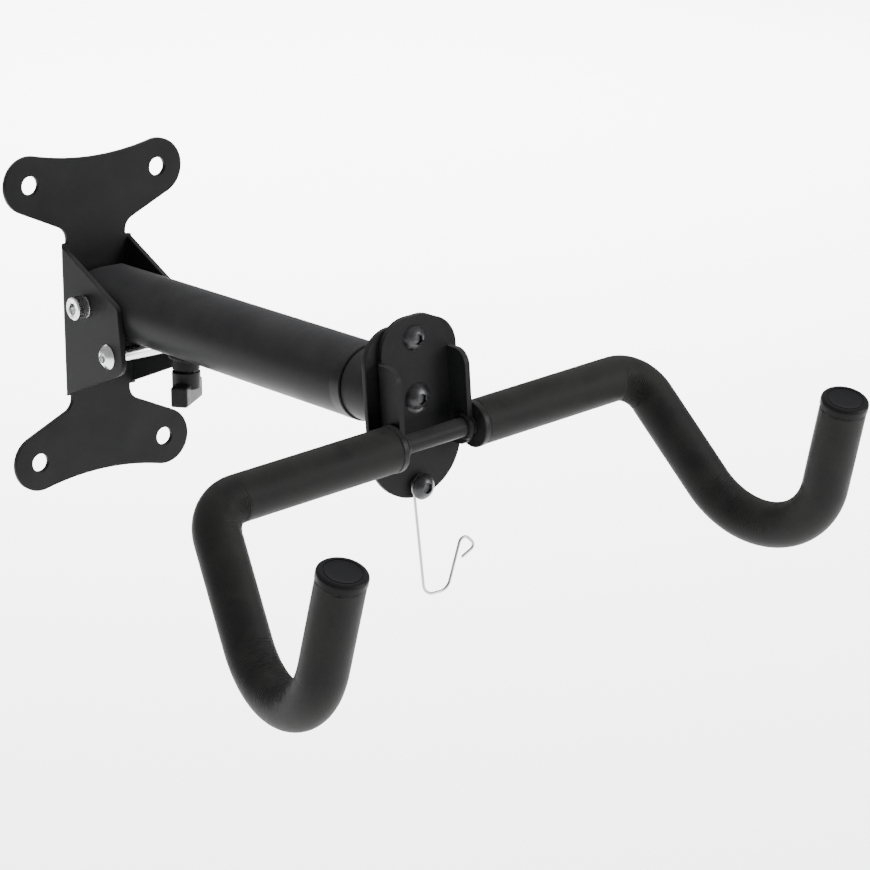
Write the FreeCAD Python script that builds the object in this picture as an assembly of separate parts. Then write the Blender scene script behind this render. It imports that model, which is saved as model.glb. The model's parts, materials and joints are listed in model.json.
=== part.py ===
"""Wall rack that holds a bicycle by its frame: a bolted wall plate, a tube arm that folds up against
the wall, and a head that swivels on the arm and carries two padded hooks.

Millimetres. +Z is up, the wall is the plane Y = 0 and the rack stands out from it towards -Y. The
origin is the middle of the four screw holes, on the back face of the wall plate.
"""

import FreeCAD
import Part

import math
import os

Vec = FreeCAD.Vector
X, Y, Z = Vec(1, 0, 0), Vec(0, 1, 0), Vec(0, 0, 1)
OUT = -Y  # away from the wall

# ---------------------------------------------------------------- driving dimensions
SHEET = 3.0  # steel sheet of every bracket
SLIP = 0.3  # gap between pieces of different bodies that pass each other
FIT = 0.05  # radial running clearance of a pin in its bore

HOLE_SPACING_X = 84.0
HOLE_SPACING_Z = 158.0
WALL_HOLE_D = 10.4
LOBE_R = 16.3  # rounded corner around each screw hole
TOP_DIP = 5.0  # how far the top and bottom edges curve in
SHOULDER_ANGLE = 24.6  # slope from each lobe in to the neck, degrees
NECK_INSET = 1.0  # the neck is this much narrower than the gap between the cheeks, each side
NECK_FILLET_R = 8.0

CHEEK_ROOT_HALF = 43.5  # half height of the cheeks where they leave the plate
CHEEK_TOP = (-56.3, 17.0)  # front upper corner of a cheek, Y and Z
CHEEK_LOW = (-60.3, -19.0)
CHEEK_CORNER_R = 5.0
CHEEK_LOW_CORNER_R = 9.0
BEND_R = 4.0  # outside radius of a sheet bend

ARM_D = 40.0
ARM_WALL = 1.5
ARM_Z = 12.2  # height of the arm's axis
ARM_END_Y = -241.0
PIVOT_GAP = 1.0  # between the rounded end of the arm and the wall plate

BOLT_D = 8.0
SOCKET_HEAD_D = 13.0
SOCKET_HEAD_H = 8.0
BUTTON_HEAD_D = 14.0
BUTTON_HEAD_H = 4.4
BUTTON_FLANGE_H = 0.8  # straight rim of a button head
BUTTON_KEY = 5.0  # across flats
HEX_KEY = 6.0  # across flats
WASHER_D = 16.0
WASHER_H = 1.6
WASHER_GAP = 0.2  # around the screw
HEAD_EDGE_R = 0.8  # rounding of a screw head
NUT_FLATS = 13.0
NUT_H = 6.8
NUT_CHAMFER = 0.8
THREAD_PAST_NUT = 1.5
REST_BOLT_Y = -45.5

SLEEVE_WALL = 2.0
REAR_BUSH_L = 14.0
REAR_BUSH_Y = -108.0
FRONT_BUSH_L = 22.0
COLLAR_L = 8.0  # the part of the front bush that shows
COLLAR_LIP = 0.1  # the collar stands proud of the arm tube
COLLAR_EDGE_R = 1.0

BUSH_WALL = 0.7
SWIVEL_WALL = 2.0
SWIVEL_REAR_Y = -70.0
SWIVEL_NECK_STEP = 0.9  # the swivel tube's thick front part is this much inside the arm tube
HEAD_ROLL = 4.0  # how far the head leans at rest, degrees
ROLL_LIMIT = 40.0  # how far the head turns each way from level

CLAMP_Y = -87.0
CLAMP_BOSS_D = 15.0
CLAMP_BOSS_H = 6.0
CLAMP_SCREW_D = 8.0
DOG_D = 6.0  # turned-down tip of the clamp screw, which runs in a slot
DOG_H = 3.0
HUB_D = 15.6
HUB_H = 9.0
SCREW_IN_HUB = 7.0  # how deep the clamp screw sits in the hub
HUB_RAISE = 1.5  # how far the hub unscrews, kept clear below the boss
WING_L = 27.0
WING_W = 9.5
WING_H = 11.5
WING_DROP = 6.0  # the wing starts this far below the hub's top
WING_EDGE_R = 1.4
WING_TURN = 36.0  # how the wing lies at rest, degrees from X

HEAD_STANDOFF = 39.5  # from the arm tube's end to the head plate's rear face
HEAD_PLATE_HALF = 29.0  # half width, and the radius of the round lower end
HEAD_PLATE_TOP = 38.5  # above the arm's axis
HEAD_PLATE_LOW = -23.5  # centre of the round lower end
HEAD_PLATE_CORNER_R = 17.0

BRACKET_HALF = 23.0
BRACKET_TOP = 42.3
BRACKET_LOW = -27.8
BRACKET_CORNER_R = 17.0
EAR_TOP = 22.5  # the side flanges start below this height
EAR_PAST_BAR = 3.5  # the ears reach this far in front of the bar's axis
EAR_CORNER_R = 8.0
TAB_HALF = 20.8  # half width of the web above the ears
TAB_ROOT_R = 1.8  # where the narrow top meets the ears
TOP_BOLT_Z = 31.0
CATCH_BOLT_Z = -46.5

BAR_D = 10.0
BAR_Z = -17.6  # below the arm's axis
BAR_OUT = 10.5  # in front of the bracket's web
GRIP_D = 23.6
HOOK_X = 135.7  # where the cross bar turns down
FOOT_OUT = 25.9  # lowest corner of a hook, past where the cross bar turns down
FOOT_YZ = (-87.2, -119.1)
TIP_OUT = 20.8
TIP_YZ = (-129.9, 8.6)
SHOULDER_R = 19.0  # bend from the cross bar into the hook
FOOT_R = 42.5
COLLAR_RING_LIP = 0.3  # the ring stands proud of the foam
COLLAR_RING_W = 3.4
COLLAR_RING_GAP = 1.2
COLLAR_RING_EDGE_R = 0.6
WELD_R = 3.0

CAP_LIP = 0.3  # the cap stands proud of the foam
CAP_T = 5.0
CAP_DISH = 1.2
CAP_RIM = 2.2
CAP_HUB_D = 16.0
CAP_SOCKET = 9.0
CAP_EDGE_R = 1.5

DOME_H = 4.6  # height of a domed screw head
TOP_HEAD_D = 13.0
MIDDLE_HEAD_D = 15.5
DOME_KEY = 5.0  # across flats

WIRE_D = 1.5
CATCH_HEAD_D = 13.5
CATCH_SHOULDER_STEP = 0.5  # the shoulder is this much outside the screw
CATCH_EYE_GAP = 0.35
CATCH_NECK_GAP = 1.0  # play of the eye along the shoulder, each side
CATCH_END_LEAN = 3.4  # how far the straight drop leans out at its foot
CATCH_DROP = 57.9
CATCH_FOOT_W = 15.0
CATCH_BEND_R = 6.5
CATCH_PEAK = (24.5, -29.5)  # X and Z from the screw
CATCH_CURL = (33.8, -38.0)
CATCH_END = (24.5, -42.7)
CATCH_PEAK_R = 3.5
CATCH_CURL_R = 2.5

# ---------------------------------------------------------------- values that follow
CHEEK_IN = ARM_D / 2 + SLIP
CHEEK_OUT = CHEEK_IN + SHEET
NECK_HALF = CHEEK_IN - NECK_INSET  # half width of the plate above and below the cheeks
PIVOT_Y = -(SHEET + PIVOT_GAP + ARM_D / 2)
COLLAR_D = ARM_D + 2 * COLLAR_LIP
HOLE_X = HOLE_SPACING_X / 2
HOLE_Z = HOLE_SPACING_Z / 2
REST_BOLT_Z = ARM_Z - ARM_D / 2 - SLIP - BOLT_D / 2
ARM_BORE = ARM_D / 2 - ARM_WALL
BUSH_BORE = ARM_BORE - BUSH_WALL
SWIVEL_R = BUSH_BORE - 2 * FIT
SWIVEL_NECK_R = ARM_D / 2 - SWIVEL_NECK_STEP
HEAD_PLATE_Y = ARM_END_Y - HEAD_STANDOFF
WEB_Y = HEAD_PLATE_Y - 2 * SHEET  # front face of the hook bracket's web
BAR_Y = WEB_Y - BAR_OUT
FOOT = (HOOK_X + FOOT_OUT, *FOOT_YZ)
TIP = (HOOK_X + TIP_OUT, *TIP_YZ)
COLLAR_RING_D = GRIP_D + 2 * COLLAR_RING_LIP
CAP_D = GRIP_D + 2 * CAP_LIP
CATCH_SHOULDER_D = BOLT_D + 2 * CATCH_SHOULDER_STEP
AXIS = Vec(0, 0, ARM_Z)


# ---------------------------------------------------------------- helpers
def cyl(radius, length, base, direction):
    return Part.makeCylinder(radius, length, base, direction)


def ring(outer, inner, length, base, direction):
    return cyl(outer, length, base, direction).cut(cyl(inner, length, base, direction))


def prism(points, thickness, direction):
    """A plate: a closed polygon pushed along a direction."""
    wire = Part.makePolygon(list(points) + [points[0]])
    return Part.Face(wire).extrude(direction * thickness)


def hexagon(flats, height, base, direction):
    """A hexagonal prism across flats, on a base point, along a direction."""
    radius = flats / math.sqrt(3)
    corners = [
        Vec(radius * math.cos(math.radians(60 * k)), radius * math.sin(math.radians(60 * k)), 0)
        for k in range(6)
    ]
    solid = prism(corners, height, Z)
    solid.Placement = FreeCAD.Placement(base, FreeCAD.Rotation(Z, direction))
    return solid


def round_edges(solid, radius, chosen):
    """Fillet the edges that the test chooses."""
    edges = [edge for edge in solid.Edges if chosen(edge)]
    return solid.makeFillet(radius, edges)


def along(edge, axis):
    """True for a straight edge that runs along an axis."""
    if edge.Curve.TypeId != "Part::GeomLine":
        return False
    return abs(abs(edge.tangentAt(edge.FirstParameter).dot(axis)) - 1) < 1e-6


def near(edge, point, tolerance=0.5):
    return edge.CenterOfMass.distanceToPoint(point) < tolerance


def rolled(shape):
    """Turn a head piece about the arm's axis to its resting lean."""
    turned = shape.copy()
    turned.rotate(AXIS, Y, -HEAD_ROLL)
    return turned


def rounded_path(points, radii):
    """A wire through the points, each inner corner replaced by an arc of its radius."""
    edges = []
    start = points[0]
    for before, corner, after, radius in zip(points, points[1:], points[2:], radii):
        u = (before - corner).normalize()
        v = (after - corner).normalize()
        half = u.getAngle(v) / 2
        reach = radius / math.tan(half)
        middle = corner + (u + v).normalize() * (radius / math.sin(half) - radius)
        edges.append(Part.makeLine(start, corner + u * reach))
        edges.append(Part.Arc(corner + u * reach, middle, corner + v * reach).toShape())
        start = corner + v * reach
    edges.append(Part.makeLine(start, points[-1]))
    return Part.Wire(edges)


def rod(path, radius):
    """A round bar along a wire."""
    first = path.Edges[0]
    circle = Part.makeCircle(radius, first.Vertexes[0].Point, first.tangentAt(first.FirstParameter))
    pipe = Part.BRepOffsetAPI.MakePipeShell(path)
    pipe.add(Part.Wire(circle))
    pipe.setTransitionMode(1)
    pipe.build()
    pipe.makeSolid()
    return Part.Solid(pipe.shape())


def socket_screw(base, direction, reach):
    """A socket-head screw whose head sits on base, its shank reaching back against direction."""
    head = cyl(SOCKET_HEAD_D / 2, SOCKET_HEAD_H, base, direction)
    head = round_edges(head, HEAD_EDGE_R, lambda e: near(e, base + direction * SOCKET_HEAD_H, 0.1))
    half_up = base + direction * SOCKET_HEAD_H / 2
    head = head.cut(hexagon(HEX_KEY, SOCKET_HEAD_H / 2, half_up, direction))
    return head.fuse(cyl(BOLT_D / 2, reach, base, direction * -1)).removeSplitter()


def domed_head(head_d, rim_h, height, key, base, direction):
    """A screw head: a short straight rim under a dome, with a hexagon socket half its height."""
    outer, rise = head_d / 2, height - rim_h
    dome_r = (outer**2 + rise**2) / (2 * rise)
    half_turn = math.asin(outer / dome_r) / 2
    shoulder = Vec(dome_r * math.sin(half_turn), 0, height - dome_r * (1 - math.cos(half_turn)))
    rim_top, crown = Vec(outer, 0, rim_h), Vec(0, 0, height)
    edges = [Part.makeLine(Vec(), Vec(outer, 0, 0))]
    if rim_h:
        edges.append(Part.makeLine(Vec(outer, 0, 0), rim_top))
    edges.append(Part.Arc(rim_top, shoulder, crown).toShape())
    edges.append(Part.makeLine(crown, Vec()))
    head = Part.Face(Part.Wire(edges)).revolve(Vec(), Z, 360)
    head = head.cut(hexagon(key, height / 2, Vec(0, 0, height / 2), Z))
    head.Placement = FreeCAD.Placement(base, FreeCAD.Rotation(Z, direction))
    return head


def button_screw(base, direction, reach):
    """A low button-head screw whose head sits on base."""
    head = domed_head(
        BUTTON_HEAD_D, BUTTON_FLANGE_H, BUTTON_HEAD_H, BUTTON_KEY, base, direction)
    return head.fuse(cyl(BOLT_D / 2, reach, base, direction * -1)).removeSplitter()


def washer(base, direction):
    return ring(WASHER_D / 2, BOLT_D / 2 + WASHER_GAP, WASHER_H, base, direction)


def nut(base, direction):
    """A hexagon nut, its outer corners turned off on both faces."""
    corner_r = NUT_FLATS / math.sqrt(3)
    blank = cyl(corner_r, NUT_H, base, direction)
    ends = (base, base + direction * NUT_H)
    blank = blank.makeChamfer(
        NUT_CHAMFER, [e for e in blank.Edges if any(near(e, end, 0.1) for end in ends)])
    solid = hexagon(NUT_FLATS, NUT_H, base, direction).common(blank)
    return solid.cut(cyl(BOLT_D / 2, NUT_H, base, direction))


def save(name, *solids):
    shape = solids[0] if len(solids) == 1 else Part.makeCompound(list(solids))
    shape.exportStep(f"parts/{name}.step")


# ---------------------------------------------------------------- wall plate
def wall_outline():
    """The plate's edge: four round lobes, dished top and bottom, and a straight-sided neck."""
    slope = math.radians(SHOULDER_ANGLE)
    dip_z = HOLE_Z + LOBE_R - TOP_DIP
    rise = dip_z - HOLE_Z
    dip_r = (HOLE_X**2 + rise**2 - LOBE_R**2) / (2 * (LOBE_R - rise))
    lobe = Vec(HOLE_X, 0, HOLE_Z)
    dip_centre = Vec(0, 0, dip_z + dip_r)
    top_touch = lobe + (dip_centre - lobe).normalize() * LOBE_R
    low_touch = lobe + Vec(math.sin(slope), 0, -math.cos(slope)) * LOBE_R
    side = lobe + Vec(math.cos(slope / 2), 0, math.sin(slope / 2)) * LOBE_R
    neck = Vec(NECK_HALF, 0, low_touch.z - (low_touch.x - NECK_HALF) * math.tan(slope))
    mirror_x = lambda p: Vec(-p.x, 0, p.z)
    mirror_z = lambda p: Vec(p.x, 0, -p.z)
    both = lambda p: Vec(-p.x, 0, -p.z)
    dip = Vec(0, 0, dip_z)
    edges = [Part.Arc(mirror_x(top_touch), dip, top_touch).toShape()]
    edges.append(Part.Arc(top_touch, side, low_touch).toShape())
    edges.append(Part.makeLine(low_touch, neck))
    edges.append(Part.makeLine(neck, mirror_z(neck)))
    edges.append(Part.makeLine(mirror_z(neck), mirror_z(low_touch)))
    edges.append(Part.Arc(mirror_z(low_touch), mirror_z(side), mirror_z(top_touch)).toShape())
    edges.append(Part.Arc(mirror_z(top_touch), mirror_z(dip), both(top_touch)).toShape())
    edges.append(Part.Arc(both(top_touch), both(side), both(low_touch)).toShape())
    edges.append(Part.makeLine(both(low_touch), both(neck)))
    edges.append(Part.makeLine(both(neck), mirror_x(neck)))
    edges.append(Part.makeLine(mirror_x(neck), mirror_x(low_touch)))
    edges.append(Part.Arc(mirror_x(low_touch), mirror_x(side), mirror_x(top_touch)).toShape())
    return Part.Face(Part.Wire(edges)), neck


def cheek(side):
    """One of the two side flanges that hold the arm, bent forward from the neck."""
    inner = side * CHEEK_IN
    points = [
        Vec(inner, 0, CHEEK_ROOT_HALF),
        Vec(inner, *CHEEK_TOP),
        Vec(inner, *CHEEK_LOW),
        Vec(inner, 0, -CHEEK_ROOT_HALF),
    ]
    plate = prism(points, SHEET, X * side)
    middle = side * (CHEEK_IN + SHEET / 2)
    plate = round_edges(plate, CHEEK_CORNER_R, lambda e: near(e, Vec(middle, *CHEEK_TOP)))
    return round_edges(plate, CHEEK_LOW_CORNER_R, lambda e: near(e, Vec(middle, *CHEEK_LOW)))


def wall_plate():
    face, neck = wall_outline()
    plate = face.extrude(OUT * SHEET)
    corners = [Vec(a * neck.x, -SHEET / 2, b * neck.z) for a in (-1, 1) for b in (-1, 1)]
    plate = round_edges(plate, NECK_FILLET_R, lambda e: any(near(e, c) for c in corners))
    span = CHEEK_ROOT_HALF
    root = Part.makeBox(2 * CHEEK_OUT, SHEET, 2 * span, Vec(-CHEEK_OUT, -SHEET, -span))
    body = plate.fuse([root, cheek(-1), cheek(1)]).removeSplitter()
    for side in (-1, 1):
        outside = prism(
            [Vec(side * CHEEK_OUT, 0, -span), Vec(side * (CHEEK_OUT - BEND_R), 0, -span),
             Vec(side * CHEEK_OUT, -BEND_R, -span)], 2 * span, Z)
        core = cyl(BEND_R, 2 * span, Vec(side * (CHEEK_OUT - BEND_R), -BEND_R, -span), Z)
        body = body.cut(outside.cut(core))
    for x in (-HOLE_X, HOLE_X):
        for z in (-HOLE_Z, HOLE_Z):
            body = body.cut(cyl(WALL_HOLE_D / 2, SHEET, Vec(x, 0, z), OUT))
    for y, z in ((PIVOT_Y, ARM_Z), (REST_BOLT_Y, REST_BOLT_Z)):
        body = body.cut(cyl(BOLT_D / 2 + FIT, 2 * CHEEK_OUT, Vec(-CHEEK_OUT, y, z), X))
    return body


def through_bolt(screw, y, z):
    """A screw with its head on the near cheek, and a washer and nut on the far one."""
    reach = 2 * CHEEK_OUT + WASHER_H + NUT_H + THREAD_PAST_NUT
    far_face = Vec(CHEEK_OUT, y, z)
    bolt = screw(Vec(-CHEEK_OUT, y, z), -X, reach)
    return bolt, washer(far_face, X), nut(far_face + X * WASHER_H, X)


# ---------------------------------------------------------------- arm
def arm_tube():
    """The outer tube; its wall end is rounded about the pivot so that it clears the plate."""
    length = PIVOT_Y + ARM_D / 2 - ARM_END_Y
    start = AXIS + Y * (PIVOT_Y + ARM_D / 2)
    tube = ring(ARM_D / 2, ARM_BORE, length, start, OUT)
    pivot = Vec(0, PIVOT_Y, ARM_Z)
    half = ARM_D / 2 + 1
    blank = Part.makeBox(2 * half, half, 2 * half, Vec(-half, PIVOT_Y, ARM_Z - half))
    tube = tube.cut(blank.cut(cyl(ARM_D / 2, 2 * half, pivot - X * half, X)))
    tube = tube.cut(cyl(BOLT_D / 2 + FIT + SLEEVE_WALL, 2 * half, pivot - X * half, X))
    return tube.cut(cyl(CLAMP_SCREW_D / 2 + FIT, half, Vec(0, CLAMP_Y, ARM_Z), -Z))


def pivot_sleeve():
    pivot = Vec(-ARM_D / 2, PIVOT_Y, ARM_Z)
    return ring(BOLT_D / 2 + FIT + SLEEVE_WALL, BOLT_D / 2 + FIT, ARM_D, pivot, X)


def clamp_boss():
    """Threaded boss welded under the arm for the clamp screw."""
    top = Vec(0, CLAMP_Y, ARM_Z - ARM_D / 2 + ARM_WALL)
    boss = ring(CLAMP_BOSS_D / 2, CLAMP_SCREW_D / 2 + FIT, CLAMP_BOSS_H + ARM_WALL, top, -Z)
    return boss.cut(cyl(ARM_D / 2, ARM_D, Vec(0, CLAMP_Y + ARM_D / 2, ARM_Z), OUT))


def front_bush():
    """Flanged plastic bush at the open end of the arm."""
    start = AXIS + Y * (ARM_END_Y + FRONT_BUSH_L - COLLAR_L)
    sleeve = ring(ARM_BORE, BUSH_BORE, FRONT_BUSH_L - COLLAR_L, start, OUT)
    collar = ring(COLLAR_D / 2, BUSH_BORE, COLLAR_L, AXIS + Y * ARM_END_Y, OUT)
    rim = AXIS + Y * (ARM_END_Y - COLLAR_L)
    collar = round_edges(
        collar, COLLAR_EDGE_R, lambda e: near(e, rim) and e.Curve.Radius > BUSH_BORE + 1)
    return sleeve.fuse(collar).removeSplitter()


def rear_bush():
    return ring(ARM_BORE, BUSH_BORE, REAR_BUSH_L, AXIS + Y * REAR_BUSH_Y, OUT)


# ---------------------------------------------------------------- clamp
def clamp_screw():
    """Screw with a dog point in the swivel tube's slot; its shoulder presses beside the slot."""
    shoulder_z = ARM_Z - SWIVEL_R - 2 * FIT
    low_z = ARM_Z - ARM_D / 2 - CLAMP_BOSS_H - HUB_RAISE - SCREW_IN_HUB
    shank = cyl(CLAMP_SCREW_D / 2, shoulder_z - low_z, Vec(0, CLAMP_Y, low_z), Z)
    dog = cyl(DOG_D / 2, DOG_H, Vec(0, CLAMP_Y, shoulder_z), Z)
    return shank.fuse(dog).removeSplitter()


def clamp_handle():
    """Moulded T handle: a round hub on the screw and a flat wing below it."""
    top = Vec(0, CLAMP_Y, ARM_Z - ARM_D / 2 - CLAMP_BOSS_H - HUB_RAISE)
    hub = cyl(HUB_D / 2, HUB_H, top, -Z)
    wing = Part.makeBox(WING_L, WING_W, WING_H, top - Vec(WING_L / 2, WING_W / 2, WING_DROP + WING_H))
    wing = round_edges(wing, WING_EDGE_R, lambda e: True)
    wing.rotate(top, Z, WING_TURN)
    handle = hub.fuse(wing).removeSplitter()
    return handle.cut(clamp_screw())


# ---------------------------------------------------------------- head
def swivel_tube():
    length = SWIVEL_REAR_Y - HEAD_PLATE_Y
    tube = ring(SWIVEL_R, SWIVEL_R - SWIVEL_WALL, length, AXIS + Y * SWIVEL_REAR_Y, OUT)
    neck_y = ARM_END_Y - COLLAR_L - SLIP
    neck = ring(SWIVEL_NECK_R, SWIVEL_R, neck_y - HEAD_PLATE_Y, AXIS + Y * neck_y, OUT)
    return tube.fuse(neck).removeSplitter().cut(roll_slot())


def roll_slot():
    """Slot that the clamp screw's dog point runs in; its ends stop the head's roll."""
    width = DOG_D + 2 * SLIP
    end_margin = math.degrees((DOG_D / 2 + 2 * SLIP) / (SWIVEL_R - SWIVEL_WALL))
    sweep = 2 * (ROLL_LIMIT + end_margin)
    band = Part.makeCylinder(
        SWIVEL_R + 1, width, AXIS + Y * (CLAMP_Y + width / 2), OUT, sweep)
    band.rotate(AXIS, Y, slot_turn(band))
    return band


def slot_turn(band):
    """The turn about Y that brings the middle of a band to the underside."""
    middle = band.CenterOfMass - AXIS
    return math.degrees(math.atan2(middle.x, middle.z)) * -1 + 180


def head_plate():
    """Plate welded square to the end of the swivel tube: two round corners over a round end."""
    low = Vec(0, HEAD_PLATE_Y, ARM_Z + HEAD_PLATE_LOW)
    height = HEAD_PLATE_TOP - HEAD_PLATE_LOW
    block = Part.makeBox(2 * HEAD_PLATE_HALF, SHEET, height, low - Vec(HEAD_PLATE_HALF, SHEET, 0))
    tops = [low + Vec(s * HEAD_PLATE_HALF, -SHEET / 2, height) for s in (-1, 1)]
    block = round_edges(block, HEAD_PLATE_CORNER_R, lambda e: any(near(e, p) for p in tops))
    plate = block.fuse(cyl(HEAD_PLATE_HALF, SHEET, low, OUT)).removeSplitter()
    return plate.cut(head_bolt_holes())


def head_bolt_holes():
    holes = [
        cyl(BOLT_D / 2 + FIT, 4 * SHEET, Vec(0, HEAD_PLATE_Y + SHEET, ARM_Z + z), OUT)
        for z in (0, TOP_BOLT_Z, CATCH_BOLT_Z)
    ]
    return Part.makeCompound(holes)


def hook_bracket():
    """Folded bracket: a flat web on the head plate and two ears notched for the bar."""
    web_back = HEAD_PLATE_Y - SHEET
    tab_h = BRACKET_TOP - EAR_TOP
    tab = Part.makeBox(2 * TAB_HALF, SHEET, tab_h, Vec(-TAB_HALF, WEB_Y, ARM_Z + EAR_TOP))
    tops = [Vec(s * TAB_HALF, WEB_Y + SHEET / 2, ARM_Z + BRACKET_TOP) for s in (-1, 1)]
    tab = round_edges(tab, BRACKET_CORNER_R, lambda e: any(near(e, p) for p in tops))
    web_h = EAR_TOP - BRACKET_LOW
    low_corner = Vec(-BRACKET_HALF, WEB_Y, ARM_Z + BRACKET_LOW)
    web = Part.makeBox(2 * BRACKET_HALF, SHEET, web_h, low_corner)
    front_y = BAR_Y - EAR_PAST_BAR
    depth = web_back - front_y
    ears = []
    for side in (-1, 1):
        x = BRACKET_HALF - SHEET if side > 0 else -BRACKET_HALF
        ear = Part.makeBox(SHEET, depth, web_h, Vec(x, front_y, ARM_Z + BRACKET_LOW))
        fronts = [Vec(x + SHEET / 2, front_y, ARM_Z + z) for z in (BRACKET_LOW, EAR_TOP)]
        ears.append(round_edges(ear, EAR_CORNER_R, lambda e: any(near(e, p) for p in fronts)))
    bracket = web.fuse([tab] + ears).removeSplitter()
    back = [Vec(s * BRACKET_HALF, web_back, 0) for s in (-1, 1)]
    bracket = round_edges(
        bracket, BEND_R,
        lambda e: along(e, Z) and any(abs(e.CenterOfMass.x - p.x) < 0.1 and
                                      abs(e.CenterOfMass.y - p.y) < 0.1 for p in back))
    roots = [Vec(s * TAB_HALF, WEB_Y + SHEET / 2, ARM_Z + EAR_TOP) for s in (-1, 1)]
    bracket = round_edges(bracket, TAB_ROOT_R, lambda e: any(near(e, p) for p in roots))
    bar = cyl(BAR_D / 2, 4 * BRACKET_HALF, Vec(-2 * BRACKET_HALF, BAR_Y, ARM_Z + BAR_Z), X)
    return bracket.cut(bar).cut(head_bolt_holes())


def hook_points(side):
    """Corners of one half of the bar: cross bar, shoulder, foot and tip."""
    base = Vec(0, BAR_Y, ARM_Z + BAR_Z)
    corner = lambda p: base + Vec(side * p[0], p[1], p[2])
    return [base, corner((HOOK_X, 0, 0)), corner(FOOT), corner(TIP)]


def tip_direction(side):
    points = hook_points(side)
    return (points[3] - points[2]).normalize()


def hook_bar():
    """One round bar bent into both hooks; its ends stop inside the end caps."""
    right, left = hook_points(1), hook_points(-1)
    short = CAP_T - CAP_DISH
    ends = [p[3] - tip_direction(s) * short for p, s in ((right, 1), (left, -1))]
    path = [ends[1], left[2], left[1], right[1], right[2], ends[0]]
    return rod(rounded_path(path, [FOOT_R, SHOULDER_R, SHOULDER_R, FOOT_R]), BAR_D / 2)


def grip(side, bar, cap):
    """Foam sleeve from its collar ring to the end cap."""
    points = hook_points(side)
    points[0] = points[0] + X * side * (BRACKET_HALF + COLLAR_RING_GAP + COLLAR_RING_W)
    points[3] = points[3] - tip_direction(side) * CAP_T
    sleeve = rod(rounded_path(points, [SHOULDER_R, FOOT_R]), GRIP_D / 2)
    return sleeve.cut(bar).cut(cap)


def end_cap(side, bar):
    """Glossy plug with a raised rim and a dished face, pushed on the bar's end."""
    tip, axis = hook_points(side)[3], tip_direction(side)
    disc = cyl(CAP_D / 2, CAP_T, tip - axis * CAP_T, axis)
    disc = round_edges(disc, CAP_EDGE_R, lambda e: near(e, tip, 0.1))
    dish_r = CAP_D / 2 - CAP_RIM
    sphere_r = (dish_r**2 + CAP_DISH**2) / (2 * CAP_DISH)
    disc = disc.cut(Part.makeSphere(sphere_r, tip + axis * (sphere_r - CAP_DISH)))
    hub = cyl(CAP_HUB_D / 2, CAP_SOCKET, tip - axis * (CAP_T + CAP_SOCKET), axis)
    return disc.fuse(hub).removeSplitter().cut(bar)


def collar_ring(side):
    start = Vec(side * (BRACKET_HALF + COLLAR_RING_GAP), BAR_Y, ARM_Z + BAR_Z)
    collar = ring(COLLAR_RING_D / 2, BAR_D / 2, COLLAR_RING_W, start, X * side)
    return round_edges(collar, COLLAR_RING_EDGE_R, lambda e: e.Curve.TypeId == "Part::GeomCircle"
                       and e.Curve.Radius > BAR_D)


def bar_weld(side, above):
    """Fillet weld between an ear's inner face and the bar, above or below it."""
    seat = BAR_D / 2 * math.sin(math.radians(60))
    lean = BAR_D / 2 * math.cos(math.radians(60))
    centre = Vec(side * (BRACKET_HALF - SHEET), BAR_Y + lean, ARM_Z + BAR_Z + above * seat)
    bead = Part.makeSphere(WELD_R, centre)
    keep = Part.makeBox(WELD_R, 2 * WELD_R, 2 * WELD_R,
                        centre - Vec(WELD_R if side > 0 else 0, WELD_R, WELD_R))
    bar = cyl(BAR_D / 2, 4 * BRACKET_HALF, Vec(-2 * BRACKET_HALF, BAR_Y, ARM_Z + BAR_Z), X)
    return bead.common(keep).cut(bar)


def domed_screw(seat, head_d, neck, clamped):
    """A low domed socket screw facing out: its neck stands on seat, over the clamped sheets."""
    under = seat + OUT * neck
    head = domed_head(head_d, 0, DOME_H, DOME_KEY, under, OUT)
    reach = neck + clamped + NUT_H + THREAD_PAST_NUT
    return head.fuse(cyl(BOLT_D / 2, reach, under, Y)).removeSplitter()


def head_screw(z, head_d):
    return domed_screw(Vec(0, WEB_Y, ARM_Z + z), head_d, 0, 2 * SHEET)


def head_nut(z):
    return nut(Vec(0, HEAD_PLATE_Y, ARM_Z + z), Y)


# ---------------------------------------------------------------- wire catch
def catch_screw():
    """Domed screw with a shoulder that the wire's eye turns on."""
    neck = WIRE_D + 2 * CATCH_NECK_GAP
    seat = Vec(0, HEAD_PLATE_Y - SHEET, ARM_Z + CATCH_BOLT_Z)
    shoulder = cyl(CATCH_SHOULDER_D / 2, neck, seat, OUT)
    return domed_screw(seat, CATCH_HEAD_D, neck, SHEET).fuse(shoulder).removeSplitter()


def wire_catch():
    """Bent wire hanging from the screw: an eye, a straight drop, a round foot and a curled hook."""
    hub_y = HEAD_PLATE_Y - SHEET - CATCH_NECK_GAP - WIRE_D / 2
    hub = rolled(Part.Vertex(0, hub_y, ARM_Z + CATCH_BOLT_Z)).Point
    eye_r = CATCH_SHOULDER_D / 2 + CATCH_EYE_GAP + WIRE_D / 2
    at = lambda x, z: hub + Vec(x, 0, z)
    eye = Part.makeTorus(eye_r, WIRE_D / 2, hub, Y)
    start_x = CATCH_END_LEAN - eye_r
    corners = [
        at(start_x, -math.sqrt(eye_r**2 - start_x**2)),
        at(start_x + CATCH_END_LEAN, -CATCH_DROP),
        at(start_x + CATCH_END_LEAN + CATCH_FOOT_W, -CATCH_DROP),
        at(*CATCH_PEAK),
        at(*CATCH_CURL),
        at(*CATCH_END),
    ]
    radii = [CATCH_BEND_R, CATCH_BEND_R, CATCH_PEAK_R, CATCH_CURL_R]
    tail = rod(rounded_path(corners, radii), WIRE_D / 2)
    return eye.fuse(tail).removeSplitter()


# ---------------------------------------------------------------- build
os.makedirs("parts", exist_ok=True)

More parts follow.
